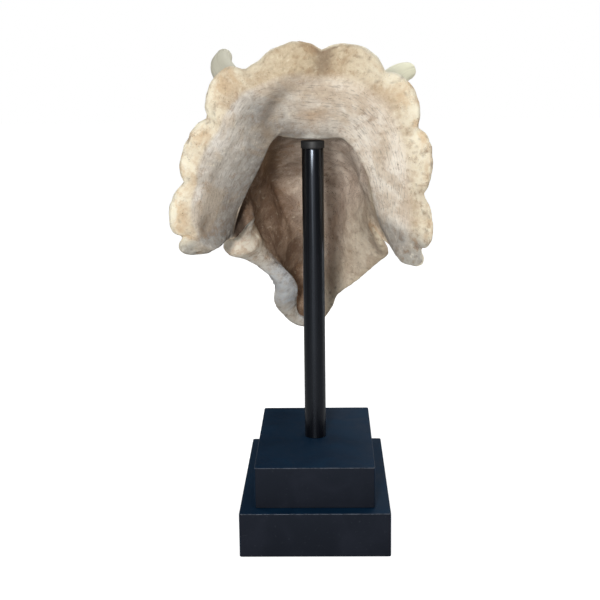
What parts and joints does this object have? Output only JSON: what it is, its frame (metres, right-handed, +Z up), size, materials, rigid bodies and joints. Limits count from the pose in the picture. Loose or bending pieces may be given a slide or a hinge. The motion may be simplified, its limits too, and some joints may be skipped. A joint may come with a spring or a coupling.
{
  "type": "triceratops skull cast on stand",
  "caption": "Hollow cast of a triceratops skull without lower jaw, tilted beak down on a black pole with a stepped rectangular base.",
  "frame": {"origin": "centre of the underside of the lower plinth, where it rests on the table or floor", "axes": "+Z up; -Y is where the beak points, +X is the skull's left side (on the left when seen from behind)"},
  "size_m": [0.4509, 0.6677, 0.8452],
  "materials": {
    "beak_bone": "cast resin or plaster, chalky bone paint, pitted",
    "snout_bone": "cast resin or plaster, chalky bone paint, pitted",
    "cranium_bone": "cast resin or plaster, chalky bone paint, pitted",
    "frill_bone": "cast resin or plaster, chalky bone paint, pitted",
    "horn_brow_left_bone": "cast resin or plaster, chalky bone paint, pitted",
    "horn_brow_right_bone": "cast resin or plaster, chalky bone paint, pitted",
    "horn_nose_bone": "cast resin or plaster, chalky bone paint, pitted",
    "stand_plinth_lower_black": "black paint, satin, over a wooden block",
    "stand_plinth_upper_black": "black paint, satin, over a wooden block",
    "stand_pole_finish": "black, semi-gloss",
    "stand_collar_finish": "dark grey, matte"
  },
  "bodies": {
    "root": {"beak": "beak_bone", "snout": "snout_bone", "cranium": "cranium_bone", "frill": "frill_bone", "horn_brow_left": "horn_brow_left_bone", "horn_brow_right": "horn_brow_right_bone", "horn_nose": "horn_nose_bone", "stand_plinth_lower": "stand_plinth_lower_black", "stand_plinth_upper": "stand_plinth_upper_black", "stand_pole": "stand_pole_finish", "stand_collar": "stand_collar_finish"}
  },
  "joints": []
}
